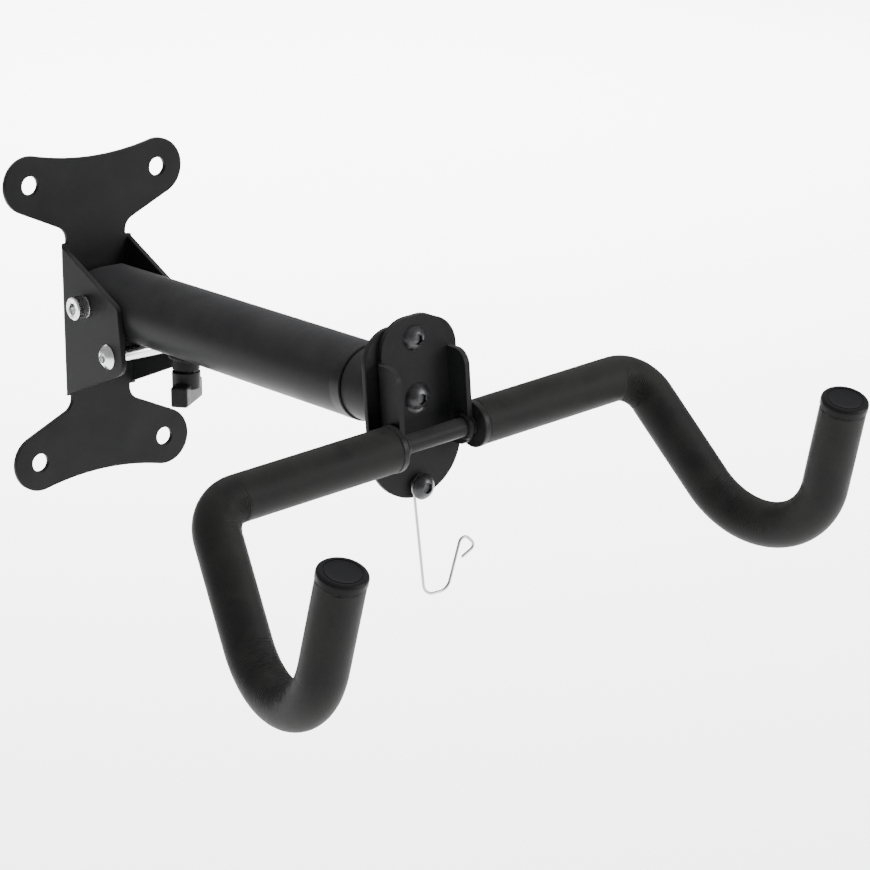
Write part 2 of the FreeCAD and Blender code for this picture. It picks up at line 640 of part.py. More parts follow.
save("wall_plate", wall_plate())
for name, screw, y, z in (
    ("pivot", socket_screw, PIVOT_Y, ARM_Z),
    ("rest", button_screw, REST_BOLT_Y, REST_BOLT_Z),
):
    bolt_solid, washer_solid, nut_solid = through_bolt(screw, y, z)
    save(f"{name}_bolt", bolt_solid)
    save(f"{name}_washer", washer_solid)
    save(f"{name}_nut", nut_solid)

save("arm_tube", arm_tube())
save("pivot_sleeve", pivot_sleeve())
save("clamp_boss", clamp_boss())
save("front_bush", front_bush())
save("rear_bush", rear_bush())
save("clamp_screw", clamp_screw())
save("clamp_handle", clamp_handle())

save("swivel_tube", rolled(swivel_tube()))
save("head_plate", rolled(head_plate()))
save("hook_bracket", rolled(hook_bracket()))
save("bar_welds", *[rolled(bar_weld(side, above)) for side in (-1, 1) for above in (-1, 1)])
bar = hook_bar()
save("hook_bar", rolled(bar))
for name, side in (("left", -1), ("right", 1)):
    cap = end_cap(side, bar)
    save(f"{name}_end_cap", rolled(cap))
    save(f"{name}_grip", rolled(grip(side, bar, cap)))
save("grip_collars", *[rolled(collar_ring(side)) for side in (-1, 1)])
save("head_top_bolt", rolled(head_screw(TOP_BOLT_Z, TOP_HEAD_D)))
save("head_middle_bolt", rolled(head_screw(0, MIDDLE_HEAD_D)))
save("head_nuts", *[rolled(head_nut(z)) for z in (TOP_BOLT_Z, 0)])
save("catch_bolt", rolled(catch_screw()))
save("catch_nut", rolled(head_nut(CATCH_BOLT_Z)))
save("wire_catch", wire_catch())
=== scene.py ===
"""Looks of a fold-up bicycle wall rack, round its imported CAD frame. Metres, +Z up, wall at Y = 0."""

import json
import math

import bmesh
import bpy
from mathutils import Matrix, Vector


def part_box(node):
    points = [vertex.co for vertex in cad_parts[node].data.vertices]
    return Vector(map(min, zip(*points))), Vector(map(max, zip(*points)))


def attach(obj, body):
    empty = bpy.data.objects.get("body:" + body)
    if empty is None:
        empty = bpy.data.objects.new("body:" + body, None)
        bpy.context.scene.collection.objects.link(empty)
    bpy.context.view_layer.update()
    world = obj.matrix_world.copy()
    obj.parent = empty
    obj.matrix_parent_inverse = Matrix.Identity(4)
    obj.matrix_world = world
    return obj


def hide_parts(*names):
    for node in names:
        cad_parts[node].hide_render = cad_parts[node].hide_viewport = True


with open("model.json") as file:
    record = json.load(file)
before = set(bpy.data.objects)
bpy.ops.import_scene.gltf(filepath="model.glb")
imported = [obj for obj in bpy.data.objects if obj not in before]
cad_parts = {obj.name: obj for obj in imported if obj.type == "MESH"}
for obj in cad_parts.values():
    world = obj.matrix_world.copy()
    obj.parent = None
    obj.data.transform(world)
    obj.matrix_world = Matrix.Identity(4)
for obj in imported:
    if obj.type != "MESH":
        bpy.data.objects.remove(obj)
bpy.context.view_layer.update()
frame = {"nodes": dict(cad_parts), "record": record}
NODES = frame["nodes"]

MM = 0.001
OUT = Vector((0, -1, 0))

# ---------------------------------------------------------------- sizes of the pieces made here
HEAD_ROLL = math.radians(4.0)
BAR_Y = -297.0 * MM
BAR_DROP = 17.6 * MM  # the cross bar's axis below the arm's axis
SHOULDER = Vector((135.7, 0, 0)) * MM
FOOT = Vector((161.6, -87.2, -119.1)) * MM
TIP = Vector((156.5, -129.9, 8.6)) * MM
SHOULDER_R = 19.0 * MM
FOOT_R = 42.5 * MM
GRIP_START = 27.6 * MM
GRIP_R = 11.8 * MM
CAP_T = 5.0 * MM
CAP_R = 12.1 * MM
CAP_DISH_R = 8.6 * MM
CAP_RIM_FROM = 3.0 * MM  # the cap's rim starts to round over here
CAP_RIM_R = 1.9 * MM
CREASE_GAIN = 12.0  # how fast the inside of a bend wrinkles
CREASE_SPREAD = 4.0  # how far the wrinkles reach round the sides
CREASE_WANDER = 2.2  # how many wrinkles a line strays by
CREASE_LEVEL = 0.8  # share of each wrinkle that is a hollow

WIRE_R = 0.75 * MM
SCREW_R = 4.0 * MM
SOCKET_HEAD_R = 6.5 * MM
SOCKET_HEAD_H = 8.0 * MM
BUTTON_HEAD_R = 7.0 * MM
BUTTON_HEAD_H = 4.4 * MM
DOME_H = 4.6 * MM
CATCH_SHOULDER_R = 4.5 * MM
CATCH_NECK = 3.5 * MM
BAR_R = 5.0 * MM
EAR_FACE = 20.0 * MM  # inner face of each ear, from the bracket's middle
NECK_R = 19.1 * MM  # swivel tube where it meets the head plate
BOSS_R = 7.5 * MM
KEY_HALF = 2.5 * MM  # half the width of a domed screw's key socket
SOCKET_KEY_HALF = 3 * MM
SOCKET_CHAMFER = 0.7 * MM
KNURL_DEPTH = 0.22 * MM
KNURL_RIBS = 36
THREAD_PITCH = 1.25 * MM
THREAD_DEPTH = 0.6 * MM
PLAY = 0.05 * MM  # how far a shank lies inside its nominal size
SEGMENTS = 144  # points round a turned piece

# ---------------------------------------------------------------- places read from the frame


def middle(node):
    low, high = (Vector(corner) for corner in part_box(node))
    return (low + high) / 2


ARM_AXIS = Vector((0, 0, middle("arm_tube").z))


def rolled(point):
    """A point of the head, given as if the cross bar were level, at its resting lean."""
    turn = Matrix.Rotation(-HEAD_ROLL, 3, "Y")
    return ARM_AXIS + turn @ (Vector(point) - ARM_AXIS)


def hook_corners(side):
    """Start, shoulder, foot and tip of one foam-covered hook."""
    base = Vector((0, BAR_Y, ARM_AXIS.z - BAR_DROP))
    start, shoulder, foot, tip = (
        base + Vector((side * v.x, v.y, v.z))
        for v in (Vector((GRIP_START, 0, 0)), SHOULDER, FOOT, TIP))
    end = tip - (tip - foot).normalized() * CAP_T
    return [rolled(p) for p in (start, shoulder, foot, end)]


# ---------------------------------------------------------------- node helpers


def add(tree, kind, inputs=None, **settings):
    """A node with its settings, its inputs linked to sockets or set to plain values."""
    node = tree.nodes.new(kind)
    for name, value in settings.items():
        setattr(node, name, value)
    for key, value in (inputs or {}).items():
        socket = node.inputs[key]
        if isinstance(value, bpy.types.NodeSocket):
            tree.links.new(value, socket)
        else:
            socket.default_value = value
    return node


def math_node(tree, operation, a, b=0.0):
    return add(tree, "ShaderNodeMath", {0: a, 1: b}, operation=operation).outputs[0]


def finish_material(name, colour, roughness, metallic=0.0, **sockets):
    """A new material with a principled shader; constant values sit on the shader itself."""
    material = bpy.data.materials.new(name)
    material.use_nodes = True
    tree = material.node_tree
    shader = tree.nodes["Principled BSDF"]
    shader.inputs["Base Color"].default_value = (*colour, 1)
    shader.inputs["Roughness"].default_value = roughness
    shader.inputs["Metallic"].default_value = metallic
    for key, value in sockets.items():
        shader.inputs[key.replace("_", " ")].default_value = value
    place = add(tree, "ShaderNodeTexCoord").outputs["Object"]
    return material, tree, shader, place


def noise(tree, place, scale, detail=3.0, distortion=0.0):
    inputs = {"Vector": place, "Scale": scale, "Detail": detail, "Distortion": distortion}
    return add(tree, "ShaderNodeTexNoise", inputs).outputs["Fac"]


def spread(tree, value, low, high):
    """Maps a noise value to a range."""
    inputs = {"Value": value, "From Min": 0.3, "From Max": 0.7, "To Min": low, "To Max": high}
    return add(tree, "ShaderNodeMapRange", inputs).outputs["Result"]


def tint(tree, value, dark, light):
    """A colour that runs from dark to light with a noise value."""
    ramp = add(tree, "ShaderNodeValToRGB", {"Fac": value})
    ramp.color_ramp.elements[0].position = 0.35
    ramp.color_ramp.elements[1].position = 0.65
    ramp.color_ramp.elements[0].color = (*dark, 1)
    ramp.color_ramp.elements[1].color = (*light, 1)
    return ramp.outputs["Color"]


def bump(tree, shader, height, depth, strength=1.0):
    inputs = {"Height": height, "Distance": depth, "Strength": strength}
    normal = add(tree, "ShaderNodeBump", inputs).outputs["Normal"]
    tree.links.new(normal, shader.inputs["Normal"])


# ---------------------------------------------------------------- finishes


def powder_coat():
    """Satin black powder coat: slight orange peel, fine texture and a little uneven gloss."""
    material, tree, shader, place = finish_material(
        "black_powder_coat", (0.012, 0.012, 0.0125), 0.42, Specular_IOR_Level=0.045)
    peel = noise(tree, place, 900, 2)
    fine = noise(tree, place, 4200, 3)
    patch = noise(tree, place, 38, 4)
    tree.links.new(tint(tree, patch, (0.0105, 0.0105, 0.011), (0.0135, 0.0135, 0.014)),
                   shader.inputs["Base Color"])
    tree.links.new(spread(tree, patch, 0.38, 0.46), shader.inputs["Roughness"])
    mixed = math_node(tree, "ADD", peel, math_node(tree, "MULTIPLY", fine, 0.4))
    bump(tree, shader, mixed, 0.00004)
    return material


def foam():
    """Closed-cell foam sleeve: matt skin with fine pores and faint cloudy wear."""
    material, tree, shader, place = finish_material(
        "black_foam", (0.0085, 0.0085, 0.0085), 0.56, Specular_IOR_Level=0.08)
    cloud = noise(tree, place, 60, 5, 0.4)
    skin = noise(tree, place, 1500, 4)
    inputs = {"Vector": place, "Scale": 1900.0, "Randomness": 1.0}
    pores = add(tree, "ShaderNodeTexVoronoi", inputs, feature="F1").outputs["Distance"]
    tree.links.new(tint(tree, cloud, (0.007, 0.007, 0.007), (0.0105, 0.0105, 0.010)),
                   shader.inputs["Base Color"])
    tree.links.new(spread(tree, cloud, 0.52, 0.62), shader.inputs["Roughness"])
    mixed = math_node(tree, "ADD", skin, math_node(tree, "MULTIPLY", pores, 0.7))
    bump(tree, shader, mixed, 0.00006)
    return material


def gloss_plastic():
    """Gloss moulded caps with faint moulding ripples and light scuffs."""
    material, tree, shader, place = finish_material(
        "gloss_black_plastic", (0.006, 0.006, 0.0065), 0.4, Specular_IOR_Level=0.07)
    scuff = noise(tree, place, 320, 6, 1.5)
    tree.links.new(spread(tree, scuff, 0.34, 0.46), shader.inputs["Roughness"])
    bump(tree, shader, noise(tree, place, 140, 2), 0.00005)
    return material


def grained_plastic():
    """Fine spark-grained nylon."""
    material, tree, shader, place = finish_material(
        "black_plastic", (0.009, 0.009, 0.0095), 0.42, Specular_IOR_Level=0.1)
    grain = noise(tree, place, 3000, 4)
    cloud = noise(tree, place, 90, 3)
    tree.links.new(tint(tree, cloud, (0.007, 0.007, 0.0075), (0.011, 0.011, 0.0115)),
                   shader.inputs["Base Color"])
    tree.links.new(spread(tree, cloud, 0.36, 0.5), shader.inputs["Roughness"])
    bump(tree, shader, grain, 0.00005)
    return material


def zinc_plate():
    """Bright zinc plate: faintly blue and uneven, with a fine noise grain in its surface."""
    material, tree, shader, place = finish_material("zinc_steel", (0.72, 0.72, 0.71), 0.26, 1.0)
    cloud = noise(tree, place, 160, 4, 0.8)
    fine = noise(tree, place, 5200, 3)
    tree.links.new(tint(tree, cloud, (0.62, 0.63, 0.65), (0.72, 0.72, 0.70)),
                   shader.inputs["Base Color"])
    tree.links.new(spread(tree, cloud, 0.2, 0.3), shader.inputs["Roughness"])
    bump(tree, shader, fine, 0.000006)
    return material


def black_oxide():
    """Blackened screw steel, slightly greyer in random patches."""
    material, tree, shader, place = finish_material(
        "black_screw_steel", (0.045, 0.045, 0.047), 0.34, 0.7)
    cloud = noise(tree, place, 300, 3, 0.3)
    tree.links.new(tint(tree, cloud, (0.03, 0.03, 0.032), (0.045, 0.045, 0.047)),
                   shader.inputs["Base Color"])
    tree.links.new(spread(tree, cloud, 0.26, 0.42), shader.inputs["Roughness"])
    bump(tree, shader, noise(tree, place, 3600, 3), 0.00001)
    return material


def drawn_wire():
    """Bright hard-drawn wire."""
    material, tree, shader, place = finish_material("bright_wire", (0.45, 0.45, 0.44), 0.35, 1.0)
    streak = noise(tree, place, 1200, 4, 2.0)
    tree.links.new(tint(tree, streak, (0.34, 0.34, 0.34), (0.5, 0.5, 0.49)),
                   shader.inputs["Base Color"])
    tree.links.new(spread(tree, streak, 0.28, 0.42), shader.inputs["Roughness"])
    bump(tree, shader, streak, 0.00001)
    return material


FINISHES = {
    "black_powder_coat": powder_coat(),
    "black_foam": foam(),
    "gloss_black_plastic": gloss_plastic(),
    "black_plastic": grained_plastic(),
    "zinc_steel": zinc_plate(),
    "black_screw_steel": black_oxide(),
    "bright_wire": drawn_wire(),
}
SLOT_OF = {row["node"]: row["material_slot"] for row in frame["record"]["subparts"]}

# ---------------------------------------------------------------- mesh helpers


def new_object(name, mesh):
    obj = bpy.data.objects.new(name, mesh)
    bpy.context.scene.collection.objects.link(obj)
    return obj


def stands_for(obj, node, body):
    """Hands a finished piece to the frame in place of one CAD node."""
    obj.data.materials.clear()
    obj.data.materials.append(FINISHES[SLOT_OF[node]])
    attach(obj, body)
    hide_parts(node)
    return obj


def smooth(mesh, sharp_degrees=40):
    mesh.shade_smooth()
    mesh.set_sharp_from_angle(angle=math.radians(sharp_degrees))


def softened(node, body, width, clamped):
    """A copy of a CAD node with its sharp edges rounded over by the coating."""
    mesh = NODES[node].data.copy()
    build = bmesh.new()
    build.from_mesh(mesh)
    bmesh.ops.remove_doubles(build, verts=build.verts, dist=2e-6)
    bmesh.ops.dissolve_limit(
        build, angle_limit=math.radians(0.6), verts=build.verts, edges=build.edges)
    build.to_mesh(mesh)
    build.free()
    mesh.shade_smooth()
    obj = new_object(f"{node}_coated", mesh)
    edge = obj.modifiers.new("rounded edges", "BEVEL")
    edge.width = width
    edge.segments = 2
    edge.limit_method = "ANGLE"
    edge.angle_limit = math.radians(38)
    edge.use_clamp_overlap = clamped
    level = obj.modifiers.new("flat faces", "WEIGHTED_NORMAL")
    level.weight = 100
    level.keep_sharp = True
    return stands_for(obj, node, body)


def hexagon_radius(flats, angle):
    """Distance from the middle of a hexagon to its side, in one direction."""
    sixth = math.radians(60)
    return flats / 2 / math.cos((angle + sixth / 2) % sixth - sixth / 2)


def turned_mesh(name, profile, base, axis):
    """A closed turned piece. Each ring is (height, radius, shape): round, hex or ribbed."""
    build = bmesh.new()
    rings = []
    for height, radius, shape in profile:
        ring = []
        for k in range(SEGMENTS):
            angle = 2 * math.pi * k / SEGMENTS
            r = radius
            if shape == "hex":
                r = hexagon_radius(2 * radius, angle)
            elif shape == "ribbed":
                r = radius - KNURL_DEPTH * (0.5 - 0.5 * math.cos(KNURL_RIBS * angle))
            ring.append(build.verts.new((r * math.cos(angle), r * math.sin(angle), height)))
        rings.append(ring)
    for lower, upper in zip(rings, rings[1:]):
        for k in range(SEGMENTS):
            following = (k + 1) % SEGMENTS
            build.faces.new((lower[k], lower[following], upper[following], upper[k]))
    build.faces.new(reversed(rings[0]))
    build.faces.new(rings[-1])
    bmesh.ops.recalc_face_normals(build, faces=build.faces)
    mesh = bpy.data.meshes.new(name)
    build.to_mesh(mesh)
    build.free()
    turn = Vector((0, 0, 1)).rotation_difference(Vector(axis)).to_matrix().to_4x4()
    mesh.transform(Matrix.Translation(Vector(base)) @ turn)
    smooth(mesh, 32)
    return mesh


# ---------------------------------------------------------------- swept rods


def group_input(tree, name, kind, default=None):
    socket = tree.interface.new_socket(name=name, in_out="INPUT", socket_type=kind)
    if default is not None:
        socket.default_value = default
    return socket


def rod_inputs(tree):
    group_input(tree, "Geometry", "NodeSocketGeometry")
    group_input(tree, "Radius", "NodeSocketFloat", GRIP_R)
    group_input(tree, "Step", "NodeSocketFloat", 0.6 * MM)
    group_input(tree, "Sides", "NodeSocketInt", 64)
    group_input(tree, "End Round", "NodeSocketFloat", 0.8 * MM)
    group_input(tree, "Crease Depth", "NodeSocketFloat", 0.0)
    group_input(tree, "Crease Pitch", "NodeSocketFloat", 2.6 * MM)
    group_input(tree, "Finish", "NodeSocketMaterial")
    tree.interface.new_socket(name="Geometry", in_out="OUTPUT", socket_type="NodeSocketGeometry")
    return add(tree, "NodeGroupInput").outputs


def measured_line(tree, source):
    """The line with its corners rounded, in even steps that keep their turning and distance."""
    corner = add(tree, "GeometryNodeInputNamedAttribute", {"Name": "corner_radius"}).outputs[0]
    line = add(tree, "GeometryNodeMeshToCurve", {"Mesh": source["Geometry"]}).outputs[0]
    rounded = add(tree, "GeometryNodeFilletCurve",
                  {"Curve": line, "Radius": corner, "Count": 48}, mode="POLY")
    even = add(tree, "GeometryNodeResampleCurve",
               {"Curve": rounded.outputs[0], "Length": source["Step"]}, mode="LENGTH")
    index = add(tree, "GeometryNodeInputIndex").outputs[0]
    tangent = add(tree, "GeometryNodeInputTangent").outputs[0]
    beside = [
        add(tree, "GeometryNodeFieldAtIndex",
            {"Index": add(tree, "FunctionNodeIntegerMath", {0: index, 1: step}).outputs[0],
             "Value": tangent}, data_type="FLOAT_VECTOR", domain="POINT").outputs[0]
        for step in (-3, 3)
    ]
    turning = add(tree, "ShaderNodeVectorMath", {0: beside[1], 1: beside[0]}, operation="SUBTRACT")
    along = add(tree, "GeometryNodeSplineParameter").outputs["Length"]
    kept = add(tree, "GeometryNodeCaptureAttribute", domain="POINT")
    kept.capture_items.new("VECTOR", "turning")
    kept.capture_items.new("FLOAT", "along")
    tree.links.new(even.outputs[0], kept.inputs["Geometry"])
    tree.links.new(turning.outputs[0], kept.inputs["turning"])
    tree.links.new(along, kept.inputs["along"])
    return kept.outputs, along


def end_width(tree, source, along):
    """Share of the radius left at each point, so that both ends round over."""
    whole = add(tree, "GeometryNodeSplineLength").outputs["Length"]
    to_end = math_node(tree, "MINIMUM", along, math_node(tree, "SUBTRACT", whole, along))
    near_end = add(tree, "ShaderNodeMapRange",
                   {"Value": to_end, "From Max": source["End Round"], "To Min": 0.0, "To Max": 1.0})
    dip = math_node(tree, "SUBTRACT", 1.0, near_end.outputs["Result"])
    curve_in = math_node(tree, "SQRT", math_node(
        tree, "SUBTRACT", 1.0, math_node(tree, "MULTIPLY", dip, dip)))
    share = math_node(tree, "DIVIDE", source["End Round"], source["Radius"])
    lost = math_node(tree, "MULTIPLY", share, math_node(tree, "SUBTRACT", 1.0, curve_in))
    return math_node(tree, "SUBTRACT", 1.0, lost)


def crease_push(tree, source, line):
    """How far the skin moves, as wrinkles on the inside of each bend."""
    normal = add(tree, "GeometryNodeInputNormal").outputs[0]
    inward = add(tree, "ShaderNodeVectorMath", {0: normal, 1: line["turning"]},
                 operation="DOT_PRODUCT").outputs["Value"]
    bend = add(tree, "ShaderNodeVectorMath", {0: line["turning"]}, operation="LENGTH")
    pinch = math_node(tree, "ADD", math_node(tree, "MULTIPLY", inward, CREASE_GAIN),
                      math_node(tree, "MULTIPLY", bend.outputs["Value"], CREASE_SPREAD))
    squeeze = math_node(tree, "MINIMUM", math_node(tree, "MAXIMUM", pinch, 0.0), 1.0)
    place = add(tree, "GeometryNodeInputPosition").outputs[0]
    waver = add(tree, "ShaderNodeTexNoise", {"Vector": place, "Scale": 120.0, "Detail": 2.0})
    pitches = math_node(tree, "DIVIDE", line["along"], source["Crease Pitch"])
    strays = math_node(tree, "MULTIPLY", waver.outputs[0], CREASE_WANDER)
    turns = math_node(tree, "ADD", pitches, strays)
    wave = math_node(tree, "SINE", math_node(tree, "MULTIPLY", turns, 2 * math.pi))
    fold = math_node(tree, "SUBTRACT", math_node(tree, "ABSOLUTE", wave), CREASE_LEVEL)
    patchy = add(tree, "ShaderNodeTexNoise", {"Vector": place, "Scale": 45.0, "Detail": 1.0})
    depth = math_node(tree, "MULTIPLY", math_node(tree, "MULTIPLY", fold, source["Crease Depth"]),
                      math_node(tree, "MULTIPLY", squeeze, patchy.outputs[0]))
    return add(tree, "ShaderNodeVectorMath", {0: normal, "Scale": depth}, operation="SCALE").outputs[0]


def rod_tree():
    """Rounds a line's corners, sweeps a round section along it and creases its inner bends."""
    tree = bpy.data.node_groups.new("creased rod", "GeometryNodeTree")
    source = rod_inputs(tree)
    line, along = measured_line(tree, source)
    width = end_width(tree, source, along)
    shaped = add(tree, "GeometryNodeSetCurveRadius", {"Curve": line["Geometry"], "Radius": width})
    section = add(tree, "GeometryNodeCurvePrimitiveCircle",
                  {"Resolution": source["Sides"], "Radius": source["Radius"]})
    swept = add(tree, "GeometryNodeCurveToMesh", {
        "Curve": shaped.outputs[0], "Profile Curve": section.outputs[0], "Fill Caps": True})
    creased = add(tree, "GeometryNodeSetPosition", {
        "Geometry": swept.outputs[0], "Offset": crease_push(tree, source, line)})
    real = add(tree, "GeometryNodeRealizeInstances", {"Geometry": creased.outputs[0]})
    painted = add(tree, "GeometryNodeSetMaterial",
                  {"Geometry": real.outputs[0], "Material": source["Finish"]})
    add(tree, "NodeGroupOutput", {"Geometry": painted.outputs[0]})
    return tree


def grown(name, base, tree, values):
    """Runs a tree on an object once and returns the result as a plain mesh object."""
    modifier = base.modifiers.new("grow", "NODES")
    modifier.node_group = tree
    for item in tree.interface.items_tree:
        if item.in_out == "INPUT" and item.name in values:
            modifier[item.identifier] = values[item.name]
    bpy.context.view_layer.update()
    evaluated = base.evaluated_get(bpy.context.evaluated_depsgraph_get())
    mesh = bpy.data.meshes.new_from_object(evaluated)
    base.modifiers.remove(modifier)
    bpy.data.objects.remove(base)
    mesh.name = name
    return new_object(name, mesh)


def corner_line(points, radii):
    """A line of straight runs that carries the radius of each of its corners."""
    mesh = bpy.data.meshes.new("corners")
    mesh.from_pydata([tuple(p) for p in points], [(k, k + 1) for k in range(len(points) - 1)], [])
    stored = mesh.attributes.new("corner_radius", "FLOAT", "POINT")
    for slot, radius in zip(stored.data, radii):
        slot.value = radius
    return new_object("corners", mesh)


ROD = rod_tree()


def swept_rod(name, points, radii, radius, **values):
    base = corner_line(points, radii)
    obj = grown(name, base, ROD, {"Radius": radius, **values})
    obj.data.shade_smooth()
    return obj


# ---------------------------------------------------------------- foam grips and end caps


def foam_grip(side, name):
    """Foam sleeve from its collar to the end cap, wrinkled inside its bends."""
    values = {"Step": 0.32 * MM, "Sides": 64, "End Round": 1.0 * MM, "Crease Depth": 1.1 * MM,
              "Crease Pitch": 2.9 * MM, "Finish": FINISHES["black_foam"]}
    radii = (0, SHOULDER_R, FOOT_R, 0)
    grip = swept_rod(f"{name}_foam", hook_corners(side), radii, GRIP_R, **values)
    stands_for(grip, f"{name}_grip", "head")


def end_cap(side, name):
    """Gloss cap: rounded rim, a fine groove, and a dished face."""
    corners = hook_corners(side)
    axis = (corners[3] - corners[2]).normalized()
    profile = [(-2.0 * MM, 7.0 * MM, "round"), (0.0, 10.9 * MM, "round"),
               (0.35 * MM, CAP_R, "round"), (CAP_RIM_FROM, CAP_R, "round")]
    for step in range(1, 9):
        angle = math.radians(90 * step / 8)
        lift, draw = math.sin(angle), 1 - math.cos(angle)
        profile.append((CAP_RIM_FROM + CAP_RIM_R * lift, CAP_R - CAP_RIM_R * draw, "round"))
    profile += [(4.9 * MM, 9.3 * MM, "round"), (4.5 * MM, 9.15 * MM, "round"),
                (4.5 * MM, 8.75 * MM, "round"), (4.8 * MM, CAP_DISH_R, "round")]
    for step in range(1, 8):
        reach = 1 - step / 8
        profile.append((4.4 * MM + 0.4 * MM * reach**4, CAP_DISH_R * reach, "round"))
    mesh = turned_mesh(f"{name}_cap", profile, corners[3], axis)
    stands_for(new_object(f"{name}_cap", mesh), f"{name}_end_cap", "head")


for side, name in ((-1, "left"), (1, "right")):
    foam_grip(side, name)
    end_cap(side, name)

# ---------------------------------------------------------------- screws and nuts


def socket_profile():
    """Head of a knurled socket screw, seat first: ribbed side, chamfer and hexagonal socket."""
    top, chamfer, key = SOCKET_HEAD_H, SOCKET_CHAMFER, SOCKET_KEY_HALF
    floor = 0.45 * top
    return [
        (0.0, SOCKET_HEAD_R - 0.3 * MM, "round"), (0.3 * MM, SOCKET_HEAD_R, "round"),
        (0.7 * MM, SOCKET_HEAD_R, "round"), (0.9 * MM, SOCKET_HEAD_R, "ribbed"),
        (top - chamfer - 0.5 * MM, SOCKET_HEAD_R, "ribbed"),
        (top - chamfer - 0.3 * MM, SOCKET_HEAD_R, "round"),
        (top - chamfer, SOCKET_HEAD_R - 0.05 * MM, "round"), (top, SOCKET_HEAD_R - chamfer, "round"),
        (top, key * 1.19, "round"), (top - 0.25 * MM, key, "hex"), (floor, key, "hex"),
        (floor - 0.7 * MM, 0.1 * MM, "round"),
    ]


def dome_profile(radius, height, rim, key=KEY_HALF):
    """Head of a button screw, seat first: short rim, dome, broken edge and hexagonal socket."""
    rise = height - rim
    ball = (radius**2 + rise**2) / (2 * rise)
    lip = key * 1.17
    start, end = math.asin(min(1, radius / ball)), math.asin(lip / ball)
    rings = [(0.0, radius - 0.25 * MM, "round"), (0.15 * MM, radius - 0.06 * MM, "round")]
    for step in range(13):
        angle = start + (end - start) * step / 12
        r, z = ball * math.sin(angle), height - ball * (1 - math.cos(angle))
        rings.append((max(z, 0.3 * MM), r, "round"))
    lip_z = rings[-1][0]
    return rings + [(lip_z - 0.25 * MM, key, "hex"), (height * 0.5, key, "hex"),
                    (height * 0.5 - 0.5 * MM, 0.1 * MM, "round")]


def shank_profile(length, thread_from):
    """Shank with a rolled thread from a distance out to its chamfered end, tip last."""
    crest, root = SCREW_R - PLAY, SCREW_R - THREAD_DEPTH
    rings = [(0.0, crest, "round"), (thread_from, crest, "round")]
    turns = int((length - thread_from - 1.0 * MM) / THREAD_PITCH)
    for k in range(turns):
        at = thread_from + 0.3 * MM + k * THREAD_PITCH
        rings += [(at, root, "round"), (at + 0.55 * THREAD_PITCH, crest, "round")]
    chamfered = [(length - 0.7 * MM, SCREW_R - 0.25 * MM), (length, SCREW_R - 0.9 * MM)]
    return rings + [(at, radius, "round") for at, radius in chamfered]


def joined(name, meshes):
    build = bmesh.new()
    for mesh in meshes:
        build.from_mesh(mesh)
    whole = bpy.data.meshes.new(name)
    build.to_mesh(whole)
    build.free()
    for mesh in meshes:
        bpy.data.meshes.remove(mesh)
    return whole


def turned_screw(node, body, head, seat, axis, length, thread, neck=None):
    """A screw of a head, an optional shoulder under it, and a threaded shank."""
    seat, axis = Vector(seat), Vector(axis)
    meshes = [turned_mesh("head", head, seat, axis)]
    if neck:
        reach, radius = neck
        rings = [(0.0, radius, "round"), (reach, radius, "round")]
        meshes.append(turned_mesh("shoulder", rings, seat, -axis))
    meshes.append(turned_mesh("shank", shank_profile(length, length - thread), seat, -axis))
    stands_for(new_object(f"{node}_turned", joined(node, meshes)), node, body)


def wall_screw(node, head, head_h):
    """Screw through both cheeks, its head on the -X side."""
    low, high = (Vector(corner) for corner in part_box(node))
    seat = (low.x + head_h, middle(node).y, middle(node).z)
    turned_screw(node, "wall", head, seat, (-1, 0, 0), high.x - seat[0], 14 * MM)


def head_screw(node, neck=None):
    """Domed screw on the front of the head, pointing out from the wall."""
    low, high = (Vector(corner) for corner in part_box(node))
    seat = (middle(node).x, low.y + DOME_H, middle(node).z)
    head = dome_profile((high.x - low.x) / 2, DOME_H, 0.5 * MM)
    turned_screw(node, "head", head, seat, OUT, high.y - seat[1], 9 * MM, neck)


wall_screw("pivot_bolt", socket_profile(), SOCKET_HEAD_H)
wall_screw("rest_bolt", dome_profile(BUTTON_HEAD_R, BUTTON_HEAD_H, 0.8 * MM), BUTTON_HEAD_H)
head_screw("head_top_bolt")
head_screw("head_middle_bolt")
head_screw("catch_bolt", (CATCH_NECK, CATCH_SHOULDER_R))

# ---------------------------------------------------------------- welds


def weld(name, point_at, bead_r, ripples):
    """A closed run of weld: a round bead along a line, rippled like laid metal."""
    around, count = 20, max(72, int(ripples * 9))
    build = bmesh.new()
    rings = []
    for k in range(count):
        at = k / count
        here, ahead = point_at(at), point_at(at + 1e-4)
        along = (ahead - here).normalized()
        side = along.orthogonal().normalized()
        up = along.cross(side)
        phase = (at * ripples) % 1.0
        swell = 1.0 + 0.16 * math.sin(math.pi * phase) + 0.05 * math.sin(7.3 * at * ripples)
        reach = bead_r * swell
        ring = []
        for j in range(around):
            turn = 2 * math.pi * j / around
            offset = side * reach * math.cos(turn) + up * reach * math.sin(turn)
            ring.append(build.verts.new(here + offset))
        rings.append(ring)
    for one, two in zip(rings, rings[1:] + rings[:1]):
        shift = 0
        if two is rings[0]:
            gaps = [(vertex.co - one[0].co).length for vertex in two]
            shift = gaps.index(min(gaps))
        for j in range(around):
            following = (j + 1) % around
            build.faces.new((one[j], one[following],
                             two[(following + shift) % around], two[(j + shift) % around]))
    bmesh.ops.recalc_face_normals(build, faces=build.faces)
    mesh = bpy.data.meshes.new(name)
    build.to_mesh(mesh)
    build.free()
    mesh.shade_smooth()
    return mesh


def circle_line(centre, radius, axis):
    """A line round a circle: takes 0 to 1 and gives the point there."""
    first = Vector(axis).orthogonal().normalized()
    second = Vector(axis).cross(first)

    def point_at(share):
        turn = 2 * math.pi * share
        return Vector(centre) + first * radius * math.cos(turn) + second * radius * math.sin(turn)

    return point_at


